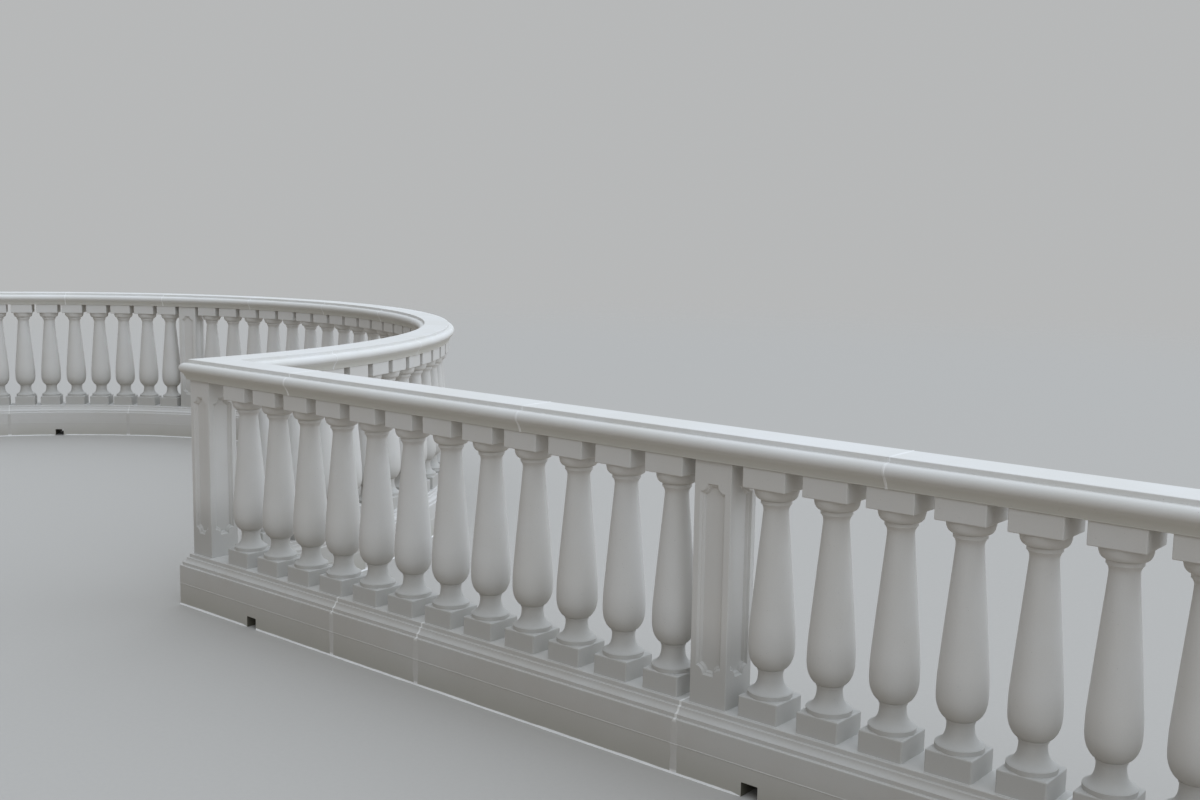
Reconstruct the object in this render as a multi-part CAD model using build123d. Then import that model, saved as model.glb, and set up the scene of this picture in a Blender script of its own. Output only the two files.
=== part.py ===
from build123d import *
import math
import os

# Stone balustrade of a raised terrace. A straight run of two bays meets, at a
# square mitred corner, a half-round run of three bays. Every bay is a row of
# turned balusters between two panelled piers, standing on a moulded plinth
# and tied together by a moulded handrail.
# Frame: the origin is the centre of the corner pier at floor level, +X is
# along the straight run, +Y is away from the terrace and +Z is up.

# Overall layout
straight_bays = 2
straight_balusters = 12
straight_pitch = 200.0
straight_pier_gap = 180.0
corner_gap = 252.0
curve_radius = 2660.0
curve_bays = 3
first_curve_balusters = 14
curve_balusters = 15
curve_pitch = 180.0
curve_pier_gap = 168.0
end_overrun = 110.0
tangent_margin = 5.0

# Heights
plinth_height = 222.0
baluster_height = 748.0
rail_height = 86.0

# Plinth section, half widths from the centreline and drops from its top
plinth_half_width = 110.0
plinth_face_drop = 54.0
plinth_arris = 4.0
plinth_quirk_half_width = 104.0
plinth_quirk_drop = 42.0
plinth_cavetto_sag = 5.0
plinth_ledge_half_width = 86.0
plinth_ledge_drop = 16.0
plinth_fillet_half_width = 80.0
plinth_chamfer = 3.0

# Handrail section, half widths from the centreline and rises from its soffit
soffit_half_width = 77.0
soffit_rise = 5.0
rail_cavetto_half_width = 90.0
rail_cavetto_rise = 28.0
rail_cavetto_sag = 4.0
torus_half_width = 100.0
torus_radius = 20.0
rail_top_half_width = 70.0
rail_chamfer = 2.0

# Baluster, radii and rises from the underside of its block. The turned shaft
# has few flats round it, because so many balusters repeat it.
shaft_flats = 16
block_width = 135.0
block_height = 65.0
foot_radius = 66.0
foot_rise = 75.0
scotia_rise = 128.0
lower_neck_radius = 37.0
lower_neck_rise = 144.0
scotia_sag = 8.0
belly_foot_radius = 41.0
belly_lip = 4.0
belly_radius = 68.5
belly_rise = 215.0
belly_sag = 8.0
taper_sag = 2.5
upper_neck_radius = 37.2
upper_neck_drop = 128.0
ring_radius = 45.5
ring_drop = 107.0
ring_height = 10.0
echinus_radius = 65.5
echinus_sag = 7.0
abacus_width = 144.0
abacus_height = 62.0

# Pier
pier_width = 132.0
panel_width = 90.0
panel_foot = 95.0
panel_head = 69.0
panel_scoop_radius = 25.0
panel_bevel = 5.0
panel_ledge = 3.0
panel_step = 7.0
scoop_facets = 12

# Stones, as distances and lengths along the centreline
plinth_straight_leg = 910.0
plinth_closer = 474.0
plinth_stone = 1160.0
plinth_curve_leg = 788.0
plinth_curve_stone = 884.0
rail_straight_leg = 620.0
rail_closer = 1240.0
rail_stone = 1342.0
rail_curve_leg = 602.0
rail_curve_stone = 743.0

# Drains through the foot of the plinth
drain_width = 58.0
drain_height = 45.0
straight_drains = (400.0, 2822.0)
curve_drains = (1771.0, 4193.0, 6615.0)

# Derived places
mitre_leg = plinth_half_width + tangent_margin
rail_bottom = plinth_height + baluster_height
straight_bay = 2 * straight_pier_gap + (straight_balusters - 1) * straight_pitch
first_straight_bay = corner_gap + straight_bay - straight_pier_gap
straight_length = first_straight_bay + (straight_bays - 1) * straight_bay
curve_bay = 2 * curve_pier_gap + (curve_balusters - 1) * curve_pitch
first_curve_bay = corner_gap + (first_curve_balusters - 1) * curve_pitch + curve_pier_gap
curve_length = first_curve_bay + (curve_bays - 1) * curve_bay
curve_centre = Vector(-curve_radius, mitre_leg, 0)
curve_axis = Axis(curve_centre, (0, 0, 1))
mitre = Plane((0, 0, 0), z_dir=(1, -1, 0))

os.makedirs("parts", exist_ok=True)


def save(name, solids):
    """Write one node. Where it holds several solids, they don't touch."""
    export_step(Compound(children=solids), f"parts/{name}.step")


def curve_angle(distance):
    """Angle on the half-round, in degrees, at a distance from the corner."""
    return math.degrees((distance - mitre_leg) / curve_radius)


def on_straight(distance, height=0.0):
    """Place on the straight run's centreline."""
    return Location((distance, 0, height))


def on_curve(distance, height=0.0):
    """Place on the curved run's centreline, turned to face its centre."""
    if distance <= mitre_leg:
        return Location((0, distance, height), (0, 0, 90))
    angle = curve_angle(distance)
    outward = Vector(curve_radius, 0, height).rotate(Axis.Z, angle)
    return Location(curve_centre + outward, (0, 0, 90 + angle))


def mirrored(edges):
    """A closed section in the XZ plane from the edges of its right half."""
    half = Wire(edges)
    return Face(Wire([*half.edges(), *half.mirror(Plane.YZ).edges()]))


def bowed(start, end, sag, facets):
    """A curve between two points of a section, drawn with a few straight facets.

    A positive sag is to the right of the way from start to end, which is away
    from the stone on a section that rises along its right side.
    """
    chord = Vector(*end) - Vector(*start)
    side = Vector(chord.Z, 0, -chord.X).normalized()
    arc = ThreePointArc(start, (Vector(*start) + Vector(*end)) / 2 + side * sag, end)
    points = [arc @ (step / facets) for step in range(facets + 1)]
    return [Line(here, there) for here, there in zip(points, points[1:])]


def plinth_section():
    """Plain face, quirk, cavetto, ledge and top fillet."""
    top = plinth_height
    face_top = (plinth_half_width, 0, top - plinth_face_drop - plinth_arris)
    arris = (plinth_half_width - plinth_arris, 0, top - plinth_face_drop)
    quirk_in = (plinth_quirk_half_width, 0, top - plinth_face_drop)
    quirk_top = (plinth_quirk_half_width, 0, top - plinth_quirk_drop)
    ledge_out = (plinth_ledge_half_width, 0, top - plinth_ledge_drop)
    ledge_in = (plinth_fillet_half_width, 0, top - plinth_ledge_drop)
    fillet_top = (plinth_fillet_half_width, 0, top - plinth_chamfer)
    edge = (plinth_fillet_half_width - plinth_chamfer, 0, top)
    return mirrored(
        [
            Line((0, 0, 0), (plinth_half_width, 0, 0)),
            Line((plinth_half_width, 0, 0), face_top),
            Line(face_top, arris),
            Line(arris, quirk_in),
            Line(quirk_in, quirk_top),
            *bowed(quirk_top, ledge_out, -plinth_cavetto_sag, 3),
            Line(ledge_out, ledge_in),
            Line(ledge_in, fillet_top),
            Line(fillet_top, edge),
            Line(edge, (0, 0, top)),
        ]
    )


def rail_section():
    """Soffit, cavetto, torus, ledge and flat-topped fillet."""
    base = rail_bottom
    torus_x = torus_half_width - torus_radius
    torus_z = base + rail_cavetto_rise + torus_radius
    soffit = (soffit_half_width, 0, base)
    soffit_top = (soffit_half_width, 0, base + soffit_rise)
    cavetto_top = (rail_cavetto_half_width, 0, base + rail_cavetto_rise)
    torus_start = (torus_x + 0.6 * torus_radius, 0, torus_z - 0.8 * torus_radius)
    torus_nose = (torus_half_width, 0, torus_z)
    torus_end = (torus_x, 0, torus_z + torus_radius)
    lower_sag = torus_radius * (1 - math.cos(math.asin(0.8) / 2))
    upper_sag = torus_radius * (1 - math.cos(math.pi / 4))
    ledge_in = (rail_top_half_width, 0, torus_z + torus_radius)
    fillet_top = (rail_top_half_width, 0, base + rail_height - rail_chamfer)
    edge = (rail_top_half_width - rail_chamfer, 0, base + rail_height)
    return mirrored(
        [
            Line((0, 0, base), soffit),
            Line(soffit, soffit_top),
            *bowed(soffit_top, cavetto_top, -rail_cavetto_sag, 3),
            Line(cavetto_top, torus_start),
            *bowed(torus_start, torus_nose, lower_sag, 2),
            *bowed(torus_nose, torus_end, upper_sag, 4),
            Line(torus_end, ledge_in),
            Line(ledge_in, fillet_top),
            Line(fillet_top, edge),
            Line(edge, (0, 0, base + rail_height)),
        ]
    )


def straight_stone(section, start, end):
    """A length of the section along the straight run."""
    turned = section.rotate(Axis.Z, 90)
    return extrude(turned.moved(Location((start, 0, 0))), amount=end - start, dir=(1, 0, 0))


def curved_stone(section, start, end):
    """A length of the section along the half-round."""
    first, last = curve_angle(start), curve_angle(end)
    seated = section.moved(Location((0, mitre_leg, 0))).rotate(curve_axis, first)
    return revolve(seated, axis=curve_axis, revolution_arc=last - first)


def corner_stone(section, straight_leg, curve_leg):
    """One stone with two legs that meet at a square mitre."""
    along = straight_stone(section, -mitre_leg, straight_leg)
    away = extrude(section.moved(Location((0, -mitre_leg, 0))), amount=2 * mitre_leg, dir=(0, 1, 0))
    along = split(along, bisect_by=mitre, keep=Keep.TOP)
    away = split(away, bisect_by=mitre, keep=Keep.BOTTOM)
    return along + away + curved_stone(section, mitre_leg, curve_leg)


def joints(leg, lengths, full_length, end):
    """Distances of the joints: the leg, the listed stones, then full ones."""
    marks = [leg]
    for length in lengths:
        marks.append(marks[-1] + length)
    while end - marks[-1] > 1.25 * full_length:
        marks.append(marks[-1] + full_length)
    return marks + [end]


def drilled(stone, start, end, drains, place):
    """The stone with the drains that fall between its two joints."""
    for drain in drains:
        if start < drain < end:
            channel = Box(drain_width, 3 * plinth_half_width, 2 * drain_height)
            stone = stone - channel.moved(place(drain))
    return stone


def baluster():
    """Square block, turned shaft and square abacus, cut from one piece."""
    top = baluster_height
    foot_low = (foot_radius, 0, block_height)
    foot = (foot_radius, 0, foot_rise)
    scotia_top = (lower_neck_radius, 0, scotia_rise)
    neck_top = (lower_neck_radius, 0, lower_neck_rise)
    belly_foot = (belly_foot_radius, 0, lower_neck_rise + belly_lip)
    belly = (belly_radius, 0, belly_rise)
    upper_neck = (upper_neck_radius, 0, top - upper_neck_drop)
    ring = (ring_radius, 0, top - ring_drop)
    ring_top = (ring_radius, 0, top - ring_drop + ring_height)
    echinus = (echinus_radius, 0, top - abacus_height)
    profile = Wire(
        [
            Line(foot_low, foot),
            *bowed(foot, scotia_top, -scotia_sag, 2),
            Line(scotia_top, neck_top),
            Line(neck_top, belly_foot),
            *bowed(belly_foot, belly, belly_sag, 2),
            *bowed(belly, upper_neck, taper_sag, 2),
            Line(upper_neck, ring),
            Line(ring, ring_top),
            *bowed(ring_top, echinus, echinus_sag, 2),
        ]
    )
    rings = []
    for corner in sorted(profile.vertices(), key=lambda vertex: vertex.Z):
        outline = RegularPolygon(corner.X, shaft_flats, rotation=180 / shaft_flats)
        rings.append(Plane((0, 0, corner.Z)) * outline)
    shaft = loft(rings, ruled=True)
    block = Box(block_width, block_width, block_height).moved(Location((0, 0, block_height / 2)))
    abacus = Box(abacus_width, abacus_width, abacus_height)
    abacus = abacus.moved(Location((0, 0, top - abacus_height / 2)))
    return block + shaft + abacus


def panel_outline(inset, depth):
    """Outline of the sunk panel, with scooped corners, set in and set back."""
    height = baluster_height - panel_foot - panel_head
    outline = Rectangle(panel_width - 2 * inset, height - 2 * inset)
    scoop = RegularPolygon(panel_scoop_radius + inset, scoop_facets)
    for corner in GridLocations(panel_width, height, 2, 2):
        outline -= corner * scoop
    middle_z = (baluster_height + panel_foot - panel_head) / 2
    face = Plane((0, depth - pier_width / 2, middle_z), x_dir=(1, 0, 0), z_dir=(0, -1, 0))
    return face * outline


def pier():
    """Square pier with a panel sunk in two bevelled steps on each side."""
    body = Box(pier_width, pier_width, baluster_height)
    body = body.moved(Location((0, 0, baluster_height / 2)))
    for step in range(2):
        inset = step * (panel_bevel + panel_ledge)
        rim = panel_outline(inset, step * panel_step)
        floor = panel_outline(inset + panel_bevel, (step + 1) * panel_step)
        recess = loft([rim, floor], ruled=True)
        for quarter in range(4):
            body -= recess.rotate(Axis.Z, 90 * quarter)
    return body


plinth = plinth_section()
rail = rail_section()
straight_end = straight_length + end_overrun
curve_end = curve_length + end_overrun

# Plinth
corner = corner_stone(plinth, plinth_straight_leg, plinth_curve_leg)
corner = drilled(corner, 0, plinth_straight_leg, straight_drains, on_straight)
save("corner_plinth", [corner])
marks = joints(plinth_straight_leg, [plinth_closer], plinth_stone, straight_end)
for number, (start, end) in enumerate(zip(marks, marks[1:]), 1):
    stone = straight_stone(plinth, start, end)
    save(f"straight_plinth_{number}", [drilled(stone, start, end, straight_drains, on_straight)])
marks = joints(plinth_curve_leg, [], plinth_curve_stone, curve_end)
for number, (start, end) in enumerate(zip(marks, marks[1:]), 1):
    stone = curved_stone(plinth, start, end)
    save(f"curved_plinth_{number}", [drilled(stone, start, end, curve_drains, on_curve)])

# Handrail
save("corner_rail", [corner_stone(rail, rail_straight_leg, rail_curve_leg)])
marks = joints(rail_straight_leg, [rail_closer], rail_stone, straight_end)
for number, (start, end) in enumerate(zip(marks, marks[1:]), 1):
    save(f"straight_rail_{number}", [straight_stone(rail, start, end)])
marks = joints(rail_curve_leg, [], rail_curve_stone, curve_end)
for number, (start, end) in enumerate(zip(marks, marks[1:]), 1):
    save(f"curved_rail_{number}", [curved_stone(rail, start, end)])

# Piers
one_pier = pier()
save("corner_pier", [one_pier.moved(on_straight(0, plinth_height))])
for bay in range(straight_bays):
    distance = first_straight_bay + bay * straight_bay
    save(f"straight_pier_{bay + 1}", [one_pier.moved(on_straight(distance, plinth_height))])
for bay in range(curve_bays):
    distance = first_curve_bay + bay * curve_bay
    save(f"curved_pier_{bay + 1}", [one_pier.moved(on_curve(distance, plinth_height))])

# Balusters, one row to a bay
one_baluster = baluster()
for bay in range(straight_bays):
    first = corner_gap if bay == 0 else first_straight_bay + (bay - 1) * straight_bay + straight_pier_gap
    places = [on_straight(first + i * straight_pitch, plinth_height) for i in range(straight_balusters)]
    save(f"straight_balusters_{bay + 1}", [one_baluster.moved(place) for place in places])
for bay in range(curve_bays):
    first = corner_gap if bay == 0 else first_curve_bay + (bay - 1) * curve_bay + curve_pier_gap
    count = first_curve_balusters if bay == 0 else curve_balusters
    places = [on_curve(first + i * curve_pitch, plinth_height) for i in range(count)]
    save(f"curved_balusters_{bay + 1}", [one_baluster.moved(place) for place in places])
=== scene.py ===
import bmesh
import bpy
import math
import random
from mathutils import Matrix, Vector
from mathutils.geometry import tessellate_polygon


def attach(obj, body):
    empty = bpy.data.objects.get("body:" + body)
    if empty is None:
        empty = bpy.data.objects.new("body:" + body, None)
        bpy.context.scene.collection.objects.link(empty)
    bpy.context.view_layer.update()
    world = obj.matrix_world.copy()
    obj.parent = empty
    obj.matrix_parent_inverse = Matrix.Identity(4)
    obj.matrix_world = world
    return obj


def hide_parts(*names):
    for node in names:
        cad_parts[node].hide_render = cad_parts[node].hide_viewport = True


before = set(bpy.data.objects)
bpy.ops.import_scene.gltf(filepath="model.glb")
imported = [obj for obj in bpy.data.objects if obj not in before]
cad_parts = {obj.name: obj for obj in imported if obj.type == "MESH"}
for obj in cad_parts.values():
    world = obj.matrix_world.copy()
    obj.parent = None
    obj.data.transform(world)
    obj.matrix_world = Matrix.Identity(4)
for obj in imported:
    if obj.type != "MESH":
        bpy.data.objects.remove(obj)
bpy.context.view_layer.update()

# Camera. It is at eye height on the near side of the balustrade, a few paces
# from the straight run, and looks along that run towards the mitred corner.
eye = (4.9116, -3.2790, 1.6723)
heading = math.radians(130.24)
downward = math.radians(7.645)
leaning = math.radians(0.941)
forward = Vector((math.cos(heading), math.sin(heading), -math.tan(downward))).normalized()
level = Vector((math.sin(heading), -math.cos(heading), 0))
upward = level.cross(forward)
right = level * math.cos(leaning) + upward * math.sin(leaning)
above = upward * math.cos(leaning) - level * math.sin(leaning)
turned_to_view = Matrix((right, above, -forward)).transposed().to_4x4()
camera = bpy.data.objects.new("camera", bpy.data.cameras.new("camera"))
camera.data.sensor_width = 36
camera.data.lens = 40.78
camera.matrix_world = Matrix.Translation(eye) @ turned_to_view
bpy.context.scene.collection.objects.link(camera)
bpy.context.scene.camera = camera


# Plinth. A moulded kerb, cast in lengths from white cement and crushed marble,
# rubbed down matt and bedded end to end on the floor. The square corner stone
# is mitred in one piece, and drains run through the foot.
class Strand:
    """A value on its way through a finish, so that sums can be written plainly."""

    def __init__(self, finish, socket):
        self.finish = finish
        self.socket = socket

    def sum(self, operation, *values):
        return self.finish.node(
            "ShaderNodeMath", {"operation": operation}, dict(enumerate(values))
        )["Value"]

    def __add__(self, other):
        return self.sum("ADD", self, other)

    def __radd__(self, other):
        return self.sum("ADD", other, self)

    def __sub__(self, other):
        return self.sum("SUBTRACT", self, other)

    def __rsub__(self, other):
        return self.sum("SUBTRACT", other, self)

    def __mul__(self, other):
        return self.sum("MULTIPLY", self, other)

    def __rmul__(self, other):
        return self.sum("MULTIPLY", other, self)


class Finish:
    """A material, or the sky, that is put together node by node."""

    def __init__(self, material):
        self.material = material
        self.material.use_nodes = True
        self.tree = self.material.node_tree
        starts = ("BSDF_PRINCIPLED", "BACKGROUND")
        self.shader = next(node for node in self.tree.nodes if node.type in starts)

    def node(self, kind, settings, sockets):
        """Any node, from its type, its settings and what its sockets take."""
        made = self.tree.nodes.new(kind)
        for setting, value in settings.items():
            setattr(made, setting, value)
        self.fill(made, sockets)
        return {out.name: Strand(self, out) for out in made.outputs if out.enabled}

    def fill(self, node, sockets):
        """Give sockets, by name or by number, a value or a link."""
        live = [socket for socket in node.inputs if socket.enabled]
        for key, value in sockets.items():
            if isinstance(key, int):
                socket = live[key]
            else:
                socket = next(one for one in live if one.name == key)
            if isinstance(value, Strand):
                self.tree.links.new(value.socket, socket)
            else:
                socket.default_value = value

    def place(self):
        return self.node("ShaderNodeTexCoord", {}, {})["Object"]

    def height(self):
        return self.node("ShaderNodeSeparateXYZ", {}, {0: self.place()})["Z"]

    def clouds(self, place, scale, detail=3.0, roughness=0.5):
        sockets = {"Vector": place, "Scale": scale, "Detail": detail, "Roughness": roughness}
        return self.node("ShaderNodeTexNoise", {}, sockets)["Fac"]

    def ramp(self, value, low, high):
        """Nought below the low end, one above the high end, smooth between."""
        settings = {"interpolation_type": "SMOOTHSTEP"}
        sockets = {"Value": value, "From Min": low, "From Max": high}
        return self.node("ShaderNodeMapRange", settings, sockets)["Result"]

    def mix(self, share, first, second, blend="MIX"):
        settings = {"data_type": "RGBA", "blend_type": blend}
        sockets = {"Factor": share, "A": first, "B": second}
        return self.node("ShaderNodeMix", settings, sockets)["Result"]

    def tint(self, shade, amount):
        greys = {0: amount, 1: amount, 2: amount}
        grey = self.node("ShaderNodeCombineColor", {}, greys)["Color"]
        return self.mix(1.0, shade, grey, "MULTIPLY")

    def bumps(self, height):
        sockets = {"Strength": 1.0, "Distance": 1.0, "Height": height}
        return self.node("ShaderNodeBump", {}, sockets)["Normal"]


# Heights between which a darkening comes or goes: damp and painted shade at the
# foot, painted shade low on the balusters and piers, painted shade and dirt under
# the rail. Then shares of noise that a pinhole, a pitted place or a warm cloud takes.
foot_darkening_fades = (-0.02, 0.15)
above_plinth = (0.2222, 0.2232)
low_shade_fades = (0.30, 0.52)
under_rail = (0.966, 0.972)
rail_shade_fades = (0.990, 1.014)
pinhole_edge = (0.04, 0.11)
pitted_edge = (0.56, 0.62)
cloud_edge = (0.36, 0.64)
damp_and_shade_tint = (0.80, 0.79, 0.735, 1)


def cast_stone(name, shade, warm_shade, shift=0.0):
    """Cast stone with faint clouds, fine grit and a few pinholes. It is darker at the
    foot from damp and painted shade, low on the balusters and piers from painted
    shade, and under the rail from painted shade and dirt."""
    finish = Finish(bpy.data.materials.new(name))
    place = finish.node(
        "ShaderNodeVectorMath", {"operation": "ADD"}, {0: finish.place(), 1: (shift, 0, 0)}
    )["Vector"]
    broad = finish.clouds(place, scale=1.7)
    patches = finish.clouds(place, scale=8.0, detail=5.0, roughness=0.6)
    grit = finish.clouds(place, scale=330.0, detail=2.0)
    pits = finish.node(
        "ShaderNodeTexVoronoi", {"feature": "F1"}, {"Vector": place, "Scale": 95.0}
    )["Distance"]
    pitted_here = finish.ramp(finish.clouds(place, scale=40.0, detail=1.0), *pitted_edge)
    pinholes = (1 - finish.ramp(pits, *pinhole_edge)) * pitted_here
    warm_here = finish.ramp(broad * 0.6 + patches * 0.4, *cloud_edge)

    height = finish.height()
    uneven_height = height + (patches - 0.5) * 0.06
    # Damp and painted shade darken the foot of the plinth, with an olive tint.
    foot_damp_and_shade = 1 - finish.ramp(uneven_height, *foot_darkening_fades)
    # Painted shade darkens the blocks and the low shafts just above the plinth.
    low_painted_shade = 1 - finish.ramp(uneven_height, *low_shade_fades)
    low_painted_shade = finish.ramp(height, *above_plinth) * low_painted_shade
    # Painted shade with some dirt darkens the rail's underside below the torus.
    shade_and_dirt_under_rail = finish.ramp(height, *under_rail) * (1 - finish.ramp(height, *rail_shade_fades))
    # How far each place takes the darkened colour: damp, painted shade and dirt together.
    damp_and_shade = foot_damp_and_shade * 0.9 + low_painted_shade * 0.3 + shade_and_dirt_under_rail * 0.85
    damp_and_shade_colour = tuple(part * tint for part, tint in zip(shade, damp_and_shade_tint))

    colour = finish.mix(damp_and_shade, finish.mix(warm_here, shade, warm_shade), damp_and_shade_colour)
    light = 0.965 + patches * 0.05 + (grit - 0.5) * 0.07 - pinholes * 0.35
    finish.fill(
        finish.shader,
        {
            # The low painted shade also dims the colour here.
            "Base Color": finish.tint(colour, light * (1 - low_painted_shade * 0.22)),
            "Roughness": 0.74 + (grit - 0.5) * 0.15 + (patches - 0.5) * 0.12,
            "Normal": finish.bumps(patches * 0.0008 + grit * 0.00007 - pinholes * 0.0004),
            "Specular IOR Level": 0.35,
        },
    )
    return finish.material


plinth_stone = cast_stone("plinth_stone", (0.58, 0.575, 0.555, 1), (0.54, 0.525, 0.495, 1))
# The half-round's plinth stones are painted lighter than the straight run's: painted light for
# the more open light they get.
curved_plinth_painted_lighter = cast_stone(
    "curved_plinth_painted_lighter", (0.66, 0.655, 0.64, 1), (0.62, 0.61, 0.585, 1), shift=7.0
)
# The insides of the drains are painted nearly black: painted shade in the holes.
drain_painted_shade = cast_stone(
    "drain_painted_shade", (0.16, 0.155, 0.13, 1), (0.11, 0.105, 0.085, 1), shift=2.0
)

corner_leg = 0.115
curve_radius = 2.66
mitre_rounding = 0.0015
lost_by_rounding = 0.29
curve_facet = 0.06


def spot(along, out, height):
    """A point of the balustrade. Below nought, along runs out on the straight,
    above it runs round the half-round, and out is towards the near side."""
    if along < -corner_leg:
        return Vector((-along, -out, height))
    if along > corner_leg:
        turn = (along - corner_leg) / curve_radius
        reach = curve_radius - out
        return Vector(
            (reach * math.cos(turn) - curve_radius, reach * math.sin(turn) + corner_leg, height)
        )
    skew = abs(along) / corner_leg * (corner_leg + out) - out
    if along == 0:
        skew += lost_by_rounding * mitre_rounding * (corner_leg + out) / corner_leg
        return Vector((skew, skew, height))
    return Vector((skew, -out, height)) if along < 0 else Vector((-out, skew, height))


def steps(start, end):
    """Where a run is divided: at the mitre, and close together on the half-round."""
    marks = {start, end}
    for mark in (-corner_leg, -mitre_rounding, 0, mitre_rounding, corner_leg):
        if start < mark < end:
            marks.add(mark)
    first = max(start, corner_leg)
    if end > first:
        count = math.ceil((end - first) / curve_facet)
        for step in range(1, count):
            marks.add(first + (end - first) * step / count)
    return sorted(marks)


def softened(corners, facets=4):
    """A line of straight runs whose corners are rounded, each by its radius."""
    most_of_a_run = 0.49
    line = []
    for index, (x, z, round_by) in enumerate(corners):
        here = Vector((x, z))
        if round_by == 0 or index in (0, len(corners) - 1):
            line.append(here)
            continue
        back = Vector(corners[index - 1][:2]) - here
        onward = Vector(corners[index + 1][:2]) - here
        half = back.angle(onward) / 2
        reach = min(
            round_by / math.tan(half), back.length * most_of_a_run, onward.length * most_of_a_run
        )
        start = here + back.normalized() * reach
        end = here + onward.normalized() * reach
        for step in range(facets + 1):
            share = step / facets
            line.append(start.lerp(here, share).lerp(here.lerp(end, share), share))
    return line


def hollow(start, end, sag, facets):
    """The corners of a hollow moulding between two points, as deep as its sag."""
    start = Vector(start)
    end = Vector(end)
    chord = end - start
    side = Vector((chord.y, -chord.x)).normalized()
    corners = []
    for step in range(1, facets):
        share = step / facets
        point = start + chord * share - side * sag * 4 * share * (1 - share)
        corners.append((point.x, point.y, 0))
    return corners


def both_sides(half):
    """A closed outline from its right half, which runs from foot to top."""
    right_half = [point for point in half if point.x > 0]
    left_half = [Vector((-point.x, point.y)) for point in reversed(right_half)]
    return right_half + left_half


def drawn_in(outline, amount):
    """The outline moved by an amount towards its middle."""
    middle = sum(outline, Vector((0, 0))) / len(outline)
    return [point + (middle - point).normalized() * amount for point in outline]


def skin(shape, loops):
    """Faces from each loop of vertices to the next, and one over either end."""
    count = len(loops[0])
    for near, far in zip(loops, loops[1:]):
        for index in range(count):
            after = (index + 1) % count
            shape.faces.new((near[index], near[after], far[after], far[index]))
    shape.faces.new(loops[0])
    shape.faces.new(list(reversed(loops[-1])))
    bmesh.ops.recalc_face_normals(shape, faces=shape.faces)


def carried(outline, rings):
    """The outline carried along the run. Each ring is a place and how far the
    outline is drawn in there."""
    shape = bmesh.new()
    loops = []
    for along, amount in rings:
        points = drawn_in(outline, amount) if amount else outline
        loops.append([shape.verts.new(spot(along, p.x, p.y)) for p in points])
    skin(shape, loops)
    return shape


sharp_edge = 32


def stone(name, shape, finish, *nodes, crease=sharp_edge):
    """A finished piece from its shape, standing for nodes of the solid model."""
    mesh = bpy.data.meshes.new(name)
    shape.to_mesh(mesh)
    shape.free()
    for face in mesh.polygons:
        face.use_smooth = True
    mesh.set_sharp_from_angle(angle=math.radians(crease))
    piece = bpy.data.objects.new(name, mesh)
    bpy.context.scene.collection.objects.link(piece)
    mesh.materials.append(finish)
    even = piece.modifiers.new("even_light", "WEIGHTED_NORMAL")
    even.keep_sharp = True
    even.weight = 80
    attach(piece, "root")
    if nodes:
        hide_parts(*nodes)
    return piece


joint_gap = 0.002
eased = 0.0015
ease_step = 0.0004


def eased_ends(start, end):
    """Rings from one joint to the next, with the arris at either end eased."""
    start += joint_gap
    end -= joint_gap
    return [
        (start, eased),
        (start + ease_step, ease_step),
        *[(mark, 0) for mark in steps(start + eased, end - eased)],
        (end - ease_step, ease_step),
        (end, eased),
    ]


# Each corner is its place out from the centreline, its height and its rounding.
plinth_top = 0.222
plinth_side = 0.110
casting_seam = 0.0938
face_top = 0.173
quirk_side = 0.102
quirk_top = 0.186
ledge_side = 0.088
ledge_foot = 0.206
fillet_side = 0.080
plinth_half = softened(
    [
        (0, 0, 0),
        (plinth_side, 0, 0.001),
        (plinth_side, casting_seam - 0.0010, 0),
        (plinth_side + 0.0014, casting_seam, 0),
        (plinth_side, casting_seam + 0.0018, 0),
        (plinth_side, face_top, 0.0060),
        (quirk_side, face_top + 0.0005, 0.0006),
        (quirk_side, quirk_top, 0.0008),
        *hollow((quirk_side, quirk_top), (ledge_side, ledge_foot), 0.0040, 8),
        (ledge_side, ledge_foot, 0.0018),
        (fillet_side + 0.0003, ledge_foot + 0.0007, 0.0005),
        (fillet_side, plinth_top, 0.0032),
        (0, plinth_top, 0),
    ]
)
plinth_outline = both_sides(plinth_half)

straight_end = -5.302
curve_end = 8.582
straight_joints = [-0.910, -1.384, -2.544, -3.704, -4.864, straight_end]
curved_joints = [0.788 + 0.884 * number for number in range(9)] + [curve_end]
plinth_marks = {"corner_plinth": (straight_joints[0], curved_joints[0])}
for number, (near, far) in enumerate(zip(straight_joints, straight_joints[1:]), 1):
    plinth_marks[f"straight_plinth_{number}"] = (far, near)
for number, (near, far) in enumerate(zip(curved_joints, curved_joints[1:]), 1):
    plinth_marks[f"curved_plinth_{number}"] = (near, far)

drains = [-2.822, -0.400, 1.771, 4.193, 6.615]
drain_width = 0.058
drain_height = 0.045
drain_length = 0.3
drain_rounding = 0.003


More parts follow.
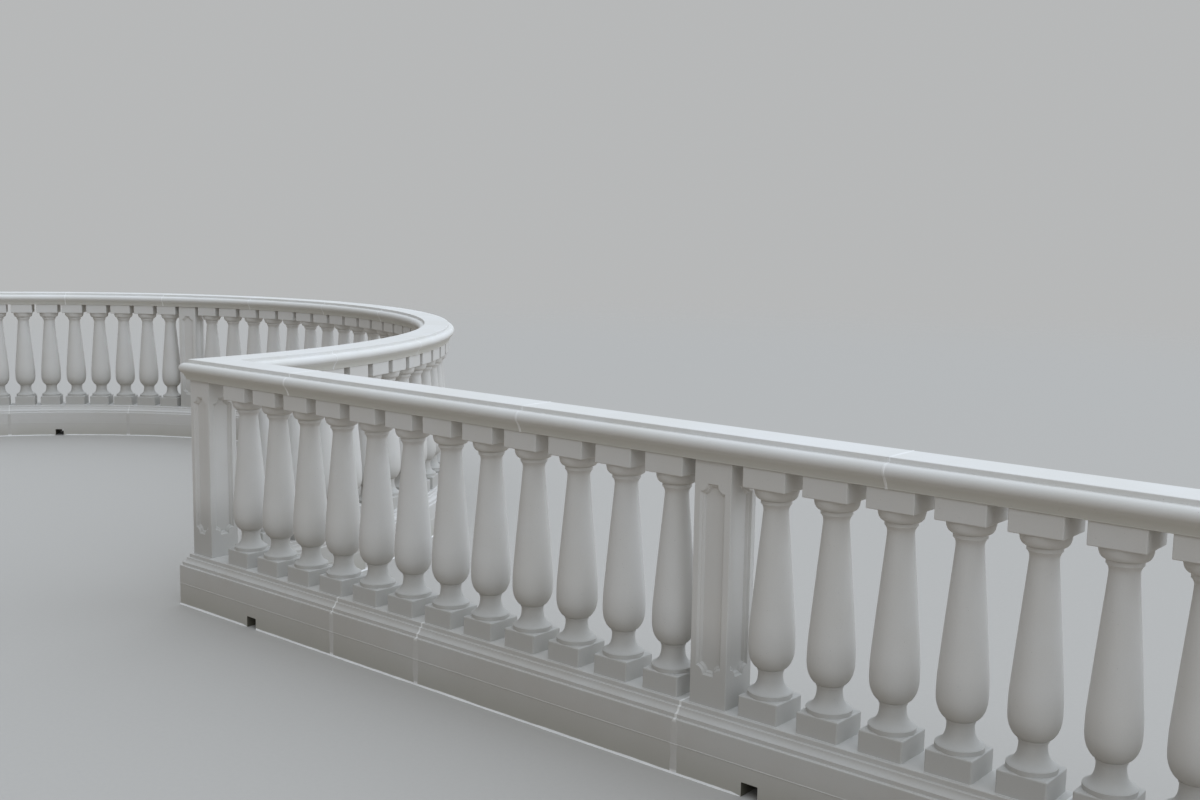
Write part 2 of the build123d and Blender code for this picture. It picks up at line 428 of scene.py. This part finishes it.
def cut_drain(piece, along):
    """Cut one drain through the foot of a plinth stone."""
    cutter = bmesh.new()
    bmesh.ops.create_cube(cutter, size=1)
    for vertex in cutter.verts:
        vertex.co.x *= drain_width
        vertex.co.y *= drain_length
        vertex.co.z *= 2 * drain_height
    edges = []
    for edge in cutter.edges:
        if abs(edge.verts[0].co.y - edge.verts[1].co.y) > drain_length / 2:
            edges.append(edge)
    bmesh.ops.bevel(
        cutter, geom=edges, offset=drain_rounding, segments=3, affect="EDGES", profile=0.5
    )
    middle = spot(along, 0, 0)
    ahead = spot(along + 0.001, 0, 0) - middle
    turn = Matrix.Rotation(math.atan2(ahead.y, ahead.x), 4, "Z")
    cutter.transform(Matrix.Translation(middle) @ turn)
    mesh = bpy.data.meshes.new("drain")
    # The drain's faces carry the painted shade into the hole.
    mesh.materials.append(drain_painted_shade)
    cutter.to_mesh(mesh)
    cutter.free()
    block = bpy.data.objects.new("drain", mesh)
    bpy.context.scene.collection.objects.link(block)
    cut = piece.modifiers.new("drain", "BOOLEAN")
    cut.operation = "DIFFERENCE"
    cut.solver = "MANIFOLD"
    cut.material_mode = "TRANSFER"
    cut.object = block
    piece.modifiers.move(len(piece.modifiers) - 1, 0)
    bpy.context.view_layer.objects.active = piece
    bpy.ops.object.modifier_apply(modifier=cut.name)
    piece.data.set_sharp_from_angle(angle=math.radians(sharp_edge))
    bpy.data.objects.remove(block)


for name, (start, end) in plinth_marks.items():
    # Painted light: the half-round's stones take the lighter copy of the plinth stone.
    finish = curved_plinth_painted_lighter if start > 0 else plinth_stone
    shape = carried(plinth_outline, eased_ends(start, end))
    piece = stone(f"{name}_stone", shape, finish, name)
    for drain in drains:
        if start < drain < end:
            cut_drain(piece, drain)


# Handrail. Lengths of moulded cast stone lie on the abaci and piers, with a
# broad torus to hold below a flat top, and meet at mortared butt joints.
rail_stone = cast_stone(
    "rail_stone", (0.79, 0.79, 0.78, 1), (0.75, 0.745, 0.72, 1), shift=5.0
)
rail_foot = 0.970
soffit_side = 0.077
hollow_foot = (0.0771, 0.0036)
hollow_top = (0.0914, 0.0316)
torus_middle = (0.0795, 0.0495)
torus_radius = 0.0205
torus_start = -53
torus_turn = 143
torus_facets = 14
rail_top_side = 0.070
rail_height = 0.086
torus = []
for step in range(torus_facets + 1):
    sweep = math.radians(torus_start + torus_turn * step / torus_facets)
    x = torus_middle[0] + torus_radius * math.cos(sweep)
    z = torus_middle[1] + torus_radius * math.sin(sweep)
    torus.append((x, z, 0))
rail_half = softened(
    [
        (0, 0, 0),
        (soffit_side, 0, 0.0020),
        (*hollow_foot, 0.0006),
        *hollow(hollow_foot, hollow_top, 0.0016, 5),
        (*hollow_top, 0),
        *torus,
        (rail_top_side, 0.0702, 0.0008),
        (rail_top_side, rail_height, 0.0032),
        (0, rail_height, 0),
    ]
)
rail_outline = [Vector((point.x, point.y + rail_foot)) for point in both_sides(rail_half)]

straight_joints = [-0.620, -1.860, -3.202, -4.544, straight_end]
curved_joints = [0.602 + 0.743 * number for number in range(11)] + [curve_end]
rail_marks = {"corner_rail": (straight_joints[0], curved_joints[0])}
for number, (near, far) in enumerate(zip(straight_joints, straight_joints[1:]), 1):
    rail_marks[f"straight_rail_{number}"] = (far, near)
for number, (near, far) in enumerate(zip(curved_joints, curved_joints[1:]), 1):
    rail_marks[f"curved_rail_{number}"] = (near, far)
for name, (start, end) in rail_marks.items():
    stone(f"{name}_stone", carried(rail_outline, eased_ends(start, end)), rail_stone, name)


# Balusters. Each is cast in one piece and set in a row to every bay: a square
# block, a disc, scotia and neck, a full belly, a long taper and a square abacus.
turned_stone = cast_stone(
    "turned_stone", (0.72, 0.715, 0.70, 1), (0.69, 0.68, 0.655, 1), shift=9.0
)
block_side = 0.135
block_height = 0.065
block_rounding = 0.0050
abacus_side = 0.144
abacus_height = 0.062
abacus_rounding = 0.0034
baluster_height = 0.748


def smooth_line(points):
    """A smooth line through the points of a turned profile, two runs to each."""
    points = [Vector(point) for point in points]
    line = []
    for index in range(len(points) - 1):
        a = points[max(index - 1, 0)]
        b = points[index]
        c = points[index + 1]
        d = points[min(index + 2, len(points) - 1)]
        for t in (0, 0.5):
            bend = 2 * a - 5 * b + 4 * c - d
            twist = 3 * b - a - 3 * c + d
            line.append(0.5 * (2 * b + (c - a) * t + bend * t * t + twist * t**3))
    return line + [points[-1]]


def square_block(shape, side, foot, top, round_by):
    """A square block whose arrises are rounded, save where it beds on a stone."""
    made = bmesh.ops.create_cube(shape, size=1)["verts"]
    for vertex in made:
        vertex.co.x *= side
        vertex.co.y *= side
        vertex.co.z = foot + (vertex.co.z + 0.5) * (top - foot)
    near_nothing = 0.001
    edges = []
    for edge in shape.edges:
        low, high = sorted(vertex.co.z for vertex in edge.verts)
        upright = high - low > near_nothing
        bedded = not near_nothing < low < baluster_height - near_nothing
        if edge.verts[0] in made and (upright or not bedded):
            edges.append(edge)
    bmesh.ops.bevel(
        shape, geom=edges, offset=round_by, segments=3, affect="EDGES", profile=0.5
    )


def turned(shape, profile, around):
    """A turned body, closed at both ends."""
    rings = []
    for point in profile:
        ring = []
        for step in range(around):
            angle = 2 * math.pi * (step + 0.5) / around
            x = point.x * math.cos(angle)
            y = point.x * math.sin(angle)
            ring.append(shape.verts.new((x, y, point.y)))
        rings.append(ring)
    skin(shape, rings)


# Each point is a radius and a height, and a third number rounds its corner.
foot_disc = [
    (0.060, 0.062, 0),
    (0.066, 0.0622, 0),
    (0.0666, 0.0785, 0.0022),
    (0.0638, 0.0791, 0.0004),
    (0.0636, 0.0798, 0),
]
scotia_and_neck = [
    (0.0628, 0.0803),
    (0.0549, 0.0842),
    (0.0467, 0.0925),
    (0.0404, 0.1045),
    (0.0377, 0.1180),
    (0.0370, 0.1290),
    (0.0371, 0.1400),
]
lower_ring = [
    (0.0371, 0.1400, 0),
    (0.0397, 0.1405, 0.0004),
    (0.0400, 0.1455, 0.0012),
    (0.0389, 0.1466, 0),
]
belly_and_taper = [
    (0.0402, 0.1470),
    (0.0490, 0.1535),
    (0.0575, 0.1650),
    (0.0640, 0.1800),
    (0.0676, 0.1970),
    (0.0685, 0.2150),
    (0.0684, 0.2350),
    (0.0674, 0.2660),
    (0.0625, 0.3260),
    (0.0575, 0.3860),
    (0.0521, 0.4460),
    (0.0468, 0.5060),
    (0.0413, 0.5660),
    (0.0384, 0.6000),
    (0.0372, 0.6180),
    (0.0377, 0.6260),
    (0.0397, 0.6320),
    (0.0438, 0.6390),
]
upper_ring = [
    (0.0440, 0.6394, 0),
    (0.0455, 0.6400, 0.0005),
    (0.0455, 0.6510, 0.0010),
    (0.0440, 0.6514, 0),
]
echinus = [
    (0.0470, 0.6518),
    (0.0535, 0.6538),
    (0.0583, 0.6580),
    (0.0617, 0.6640),
    (0.0640, 0.6720),
    (0.0651, 0.6790),
    (0.0655, 0.6870),
]
shaft_profile = [
    *softened(foot_disc, 3),
    *smooth_line(scotia_and_neck),
    *softened(lower_ring, 2),
    *smooth_line(belly_and_taper),
    *softened(upper_ring, 2),
    *smooth_line(echinus),
]
one_baluster = bmesh.new()
square_block(one_baluster, block_side, 0, block_height, block_rounding)
square_block(
    one_baluster, abacus_side, baluster_height - abacus_height, baluster_height, abacus_rounding
)
turned(one_baluster, shaft_profile, around=60)
baluster_mesh = bpy.data.meshes.new("baluster")
one_baluster.to_mesh(baluster_mesh)
one_baluster.free()


def stand(along):
    """The place of a baluster or pier on the plinth, turned with the run."""
    if abs(along) < corner_leg:
        return Matrix.Translation((0, 0, plinth_top))
    ahead = spot(along + 0.0005, 0, 0) - spot(along - 0.0005, 0, 0)
    turn = Matrix.Rotation(math.atan2(ahead.y, ahead.x), 4, "Z")
    return Matrix.Translation(spot(along, 0, plinth_top)) @ turn


hand = random.Random(4)
out_of_square = 0.35
rows = {
    "straight_balusters_1": [-(0.252 + 0.200 * n) for n in range(12)],
    "straight_balusters_2": [-(2.812 + 0.200 * n) for n in range(12)],
    "curved_balusters_1": [0.252 + 0.180 * n for n in range(14)],
    "curved_balusters_2": [2.928 + 0.180 * n for n in range(15)],
    "curved_balusters_3": [5.784 + 0.180 * n for n in range(15)],
}
for name, places in rows.items():
    row = bmesh.new()
    for along in places:
        turn = math.radians(hand.uniform(-out_of_square, out_of_square))
        one = baluster_mesh.copy()
        one.transform(stand(along) @ Matrix.Rotation(turn, 4, "Z"))
        row.from_mesh(one)
        bpy.data.meshes.remove(one)
    stone(f"{name}_turned", row, turned_stone, name)


# Piers. Square posts, cast like the rest, at the corner and between the bays.
# Each side has a tall sunk panel with scooped corners inside a double bevel.
pier_side = 0.132
pier_rounding = 0.003
panel_side = 0.090
panel_foot = 0.095
panel_head = 0.069
scoop_radius = 0.025
scoop_facets = 12

# Each is how far inside the panel's edge, and how deep in the face.
panel_steps = [
    (0, 0),
    (0.0006, 0.0006),
    (0.0050, 0.0067),
    (0.0057, 0.0073),
    (0.0078, 0.0074),
    (0.0084, 0.0080),
    (0.0130, 0.0136),
    (0.0140, 0.0141),
]


def panel(inset):
    """The outline of the panel, set in, as points across and up one face."""
    half = panel_side / 2
    foot = panel_foot
    head = baluster_height - panel_head
    reach = scoop_radius + inset
    start = math.asin(inset / reach)
    points = []
    corners = ((half, foot, 180), (half, head, 270), (-half, head, 360), (-half, foot, 90))
    for x, z, turn in corners:
        for step in range(scoop_facets + 1):
            sweep = start + (math.pi / 2 - 2 * start) * step / scoop_facets
            angle = math.radians(turn) - sweep
            points.append(Vector((x + reach * math.cos(angle), z + reach * math.sin(angle))))
    return points


def one_pier():
    """A post with rounded arrises and a panel let into each side."""
    shape = bmesh.new()
    square_block(shape, pier_side, 0, baluster_height, pier_rounding)
    half = pier_side / 2
    for turn in range(4):
        spin = Matrix.Rotation(math.radians(90 * turn), 4, "Z")
        outward = spin @ Vector((0, -1, 0))
        side = max(
            shape.faces, key=lambda face: face.calc_area() * max(face.normal.dot(outward), 0)
        )
        rim = list(side.verts)
        bmesh.ops.delete(shape, geom=[side], context="FACES_ONLY")
        loops = []
        for inset, depth in panel_steps:
            loop = []
            for point in panel(inset):
                loop.append(shape.verts.new(spin @ Vector((point.x, depth - half, point.y))))
            loops.append(loop)
        for outer, inner in zip(loops, loops[1:]):
            count = len(outer)
            for index in range(count):
                after = (index + 1) % count
                shape.faces.new((outer[index], outer[after], inner[after], inner[index]))
        around = rim + loops[0]
        for corners in tessellate_polygon([[v.co for v in rim], [v.co for v in loops[0]]]):
            shape.faces.new([around[corner] for corner in corners])
        floor = loops[-1]
        for corners in tessellate_polygon([[v.co for v in floor]]):
            shape.faces.new([floor[corner] for corner in corners])
    bmesh.ops.recalc_face_normals(shape, faces=shape.faces)
    return shape


posts = {
    "corner_pier": 0,
    "straight_pier_1": -2.632,
    "straight_pier_2": -5.192,
    "curved_pier_1": 2.760,
    "curved_pier_2": 5.616,
    "curved_pier_3": 8.472,
}
for name, along in posts.items():
    post = one_pier()
    post.transform(stand(along))
    stone(f"{name}_panelled", post, turned_stone, name, crease=25)


# Mortar. White mortar fills the butt joints between the stones, smeared wide on
# the plinth's face, and a thin bead of it seals the plinth to the floor.
foot_dusted = (0.009, 0.016)
face_ends = (0.160, 0.171)
low_ends = (0.3, 0.4)
rail_top_starts = (1.052, 1.056)
white_mortar = Finish(bpy.data.materials.new("white_mortar"))
place = white_mortar.place()
lumps = white_mortar.clouds(place, scale=120.0, detail=4.0, roughness=0.6)
smears = white_mortar.clouds(place, scale=14.0)
sand = white_mortar.clouds(place, scale=900.0, detail=1.0)
height = white_mortar.height()
past_face = white_mortar.ramp(height, *face_ends)
on_mouldings = past_face * (1 - white_mortar.ramp(height, *low_ends))
on_face = white_mortar.ramp(height, *foot_dusted) * (1 - past_face)
on_top = white_mortar.ramp(height, *rail_top_starts)
shade = white_mortar.mix(
    white_mortar.ramp(smears, 0.35, 0.65), (0.92, 0.92, 0.91, 1), (0.87, 0.87, 0.86, 1)
)
shade = white_mortar.mix(on_top * 0.8, shade, (0.85, 0.85, 0.84, 1))
shade = white_mortar.mix(on_mouldings * 0.85, shade, (0.80, 0.795, 0.775, 1))
shade = white_mortar.mix(on_face, shade, (0.61, 0.60, 0.575, 1))
white_mortar.fill(
    white_mortar.shader,
    {
        "Base Color": white_mortar.tint(shade, 0.95 + (lumps - 0.5) * 0.12 + (sand - 0.5) * 0.1),
        "Roughness": 0.86 + (lumps - 0.5) * 0.12,
        "Normal": white_mortar.bumps(lumps * 0.0006 + sand * 0.00008),
        "Specular IOR Level": 0.3,
    },
)

rail_joint_width = 0.0085
rail_joint_proud = 0.0014
plinth_joint_widths = (0.0060, 0.0085)
plinth_joint_proud = 0.0007
joint_facet = 0.008
joint_depth = 0.002
joint_wander = 0.0020
other_edge_wander = 0.7
joint_shares = (-1.15, -1, -0.6, 0.6, 1, 1.15)
evenings = 4
smear_top = 0.165
smear_width = 3.2


def divided(outline, longest):
    """The closed outline with its long runs divided."""
    points = []
    for index, point in enumerate(outline):
        after = outline[(index + 1) % len(outline)]
        count = max(1, math.ceil((after - point).length / longest))
        points += [point.lerp(after, step / count) for step in range(count)]
    return points


def evened(values):
    """Each value of a closed row brought nearer to its neighbours."""
    count = len(values)
    return [(values[i - 1] + values[i] + values[(i + 1) % count]) / 3 for i in range(count)]


def joint(outline, along, width, proud):
    """A band of mortar round a butt joint, with wandering edges."""
    shape = bmesh.new()
    points = divided(outline, joint_facet)
    raised = drawn_in(points, -proud)
    sunk = drawn_in(points, joint_depth)
    smeared = evened([smear_width if point.y < smear_top else 1 for point in points])
    wander = [hand.uniform(-1, 1) for _ in points]
    for _ in range(evenings):
        wander = evened(wander)
    bodies = (sunk, points, raised, raised, points, sunk)
    loops = []
    for share, body in zip(joint_shares, bodies):
        sway = joint_wander if share > 0 else -joint_wander * other_edge_wander
        loop = []
        for point, drift, wide in zip(body, wander, smeared):
            place = along + (width / 2 * share + drift * sway) * wide
            loop.append(shape.verts.new(spot(place, point.x, point.y)))
        loops.append(loop)
    skin(shape, loops)
    return shape


def joined(shapes):
    """Several shapes as one."""
    whole = bmesh.new()
    for shape in shapes:
        mesh = bpy.data.meshes.new("part")
        shape.to_mesh(mesh)
        shape.free()
        whole.from_mesh(mesh)
        bpy.data.meshes.remove(mesh)
    return whole


def inner_joints(marks):
    """The joints between two stones, without the two ends of the run."""
    edges = {round(edge, 4) for pair in marks.values() for edge in pair}
    return sorted(edges)[1:-1]


rail_joints = []
for along in inner_joints(rail_marks):
    rail_joints.append(joint(rail_outline, along, rail_joint_width, rail_joint_proud))
stone("rail_joints", joined(rail_joints), white_mortar.material)
plinth_joints = []
for along in inner_joints(plinth_marks):
    width = hand.uniform(*plinth_joint_widths)
    plinth_joints.append(joint(plinth_outline, along, width, plinth_joint_proud))
stone("plinth_joints", joined(plinth_joints), white_mortar.material)

bead_width = 0.004
bead_height = 0.006
bead_facet = 0.03
bead_under = 0.0002
bead_behind = 0.1085
bead_settles = 0.4
width_sways = 0.0006
height_sways = 0.0008
bead_tip = 0.3


def bead(start, end, side):
    """A run of the bead in the angle between plinth and floor."""
    shape = bmesh.new()
    count = max(2, math.ceil((end - start) / bead_facet))
    marks = {start + (end - start) * step / count for step in range(count + 1)}
    marks = {mark for mark in marks if abs(mark) > corner_leg or not start < 0 < end}
    if start < 0 < end:
        marks |= {-corner_leg, -mitre_rounding, 0, mitre_rounding, corner_leg}
    loops = []
    wide = bead_width
    tall = bead_height
    for mark in sorted(marks):
        wide += (bead_width - wide) * bead_settles + hand.uniform(-width_sways, width_sways)
        tall += (bead_height - tall) * bead_settles + hand.uniform(-height_sways, height_sways)
        tip = bead_tip if mark in (start, end) else 1
        section = [
            (bead_behind, bead_under),
            (plinth_side + wide * tip, bead_under),
            (plinth_side + wide * 0.85 * tip, tall * 0.22 * tip),
            (plinth_side + wide * 0.35 * tip, tall * 0.6 * tip),
            (plinth_side + 0.0004, tall * tip),
            (bead_behind, tall * tip),
        ]
        loops.append([shape.verts.new(spot(mark, side * x, z)) for x, z in section])
    skin(shape, loops)
    return shape


beside_drain = 0.032
bead_ends = [straight_end]
for drain in drains:
    bead_ends += [drain - beside_drain, drain + beside_drain]
bead_ends.append(curve_end)
beads = []
for start, end in zip(bead_ends[::2], bead_ends[1::2]):
    beads += [bead(start, end, 1), bead(start, end, -1)]
stone("floor_bead", joined(beads), white_mortar.material, crease=60)


# Studio. A plain pale floor that fades into a plain pale surround, under soft
# light, most of it from above and from beyond the outer end of the straight run.
floor_shape = bmesh.new()
bmesh.ops.create_circle(floor_shape, cap_ends=True, segments=96, radius=40)
floor_mesh = bpy.data.meshes.new("floor")
floor_shape.to_mesh(floor_mesh)
floor_shape.free()
floor = bpy.data.objects.new("floor", floor_mesh)
floor.location = (0, 1.2, 0)
bpy.context.scene.collection.objects.link(floor)
seen_shade = (0.50, 0.485, 0.46, 1)
thrown_back_shade = (0.31, 0.265, 0.215, 1)
fades_away = (9.0, 22.0)
pale_floor = Finish(bpy.data.materials.new("pale_floor"))
speck = pale_floor.clouds(pale_floor.place(), scale=60.0, detail=4.0)
pale = pale_floor.tint(seen_shade, 0.97 + (speck - 0.5) * 0.05)
seen = pale_floor.node("ShaderNodeLightPath", {}, {})["Is Camera Ray"]
away = pale_floor.node(
    "ShaderNodeVectorMath", {"operation": "LENGTH"}, {0: pale_floor.place()}
)["Value"]
pale_floor.fill(
    pale_floor.shader,
    {
        "Base Color": pale_floor.mix(seen, thrown_back_shade, pale),
        "Roughness": 0.9,
        "Specular IOR Level": 0.2,
    },
)
clear = pale_floor.node("ShaderNodeBsdfTransparent", {}, {})["BSDF"]
solid = Strand(pale_floor, pale_floor.shader.outputs[0])
faded = pale_floor.node(
    "ShaderNodeMixShader", {}, {0: pale_floor.ramp(away, *fades_away), 1: solid, 2: clear}
)["Shader"]
pale_floor.fill(pale_floor.tree.nodes["Material Output"], {"Surface": faded})
floor_mesh.materials.append(pale_floor.material)

open_side = (0.45, 0.30, 0.84)
open_side_fades = (-0.15, 1.0)
shut_side_strength = 0.29
open_side_more = 1.13
world = bpy.data.worlds.new("surround")
bpy.context.scene.world = world
sky = Finish(world)
towards = sky.node("ShaderNodeTexCoord", {}, {})["Generated"]
openness = sky.node(
    "ShaderNodeVectorMath", {"operation": "DOT_PRODUCT"}, {0: towards, 1: open_side}
)["Value"]
openness = sky.ramp(openness, *open_side_fades)
sky.fill(
    sky.shader,
    {
        "Color": sky.mix(openness, (0.98, 0.985, 0.985, 1), (0.89, 0.97, 1.07, 1)),
        "Strength": shut_side_strength + openness * open_side_more,
    },
)
backdrop = sky.node(
    "ShaderNodeBackground", {}, {"Color": (0.473, 0.480, 0.482, 1), "Strength": 1.0}
)["Background"]
seen = sky.node("ShaderNodeLightPath", {}, {})["Is Camera Ray"]
light = Strand(sky, sky.shader.outputs[0])
surround = sky.node("ShaderNodeMixShader", {}, {0: seen, 1: light, 2: backdrop})["Shader"]
sky.fill(sky.tree.nodes["World Output"], {"Surface": surround})

bpy.context.scene.view_settings.view_transform = "Standard"
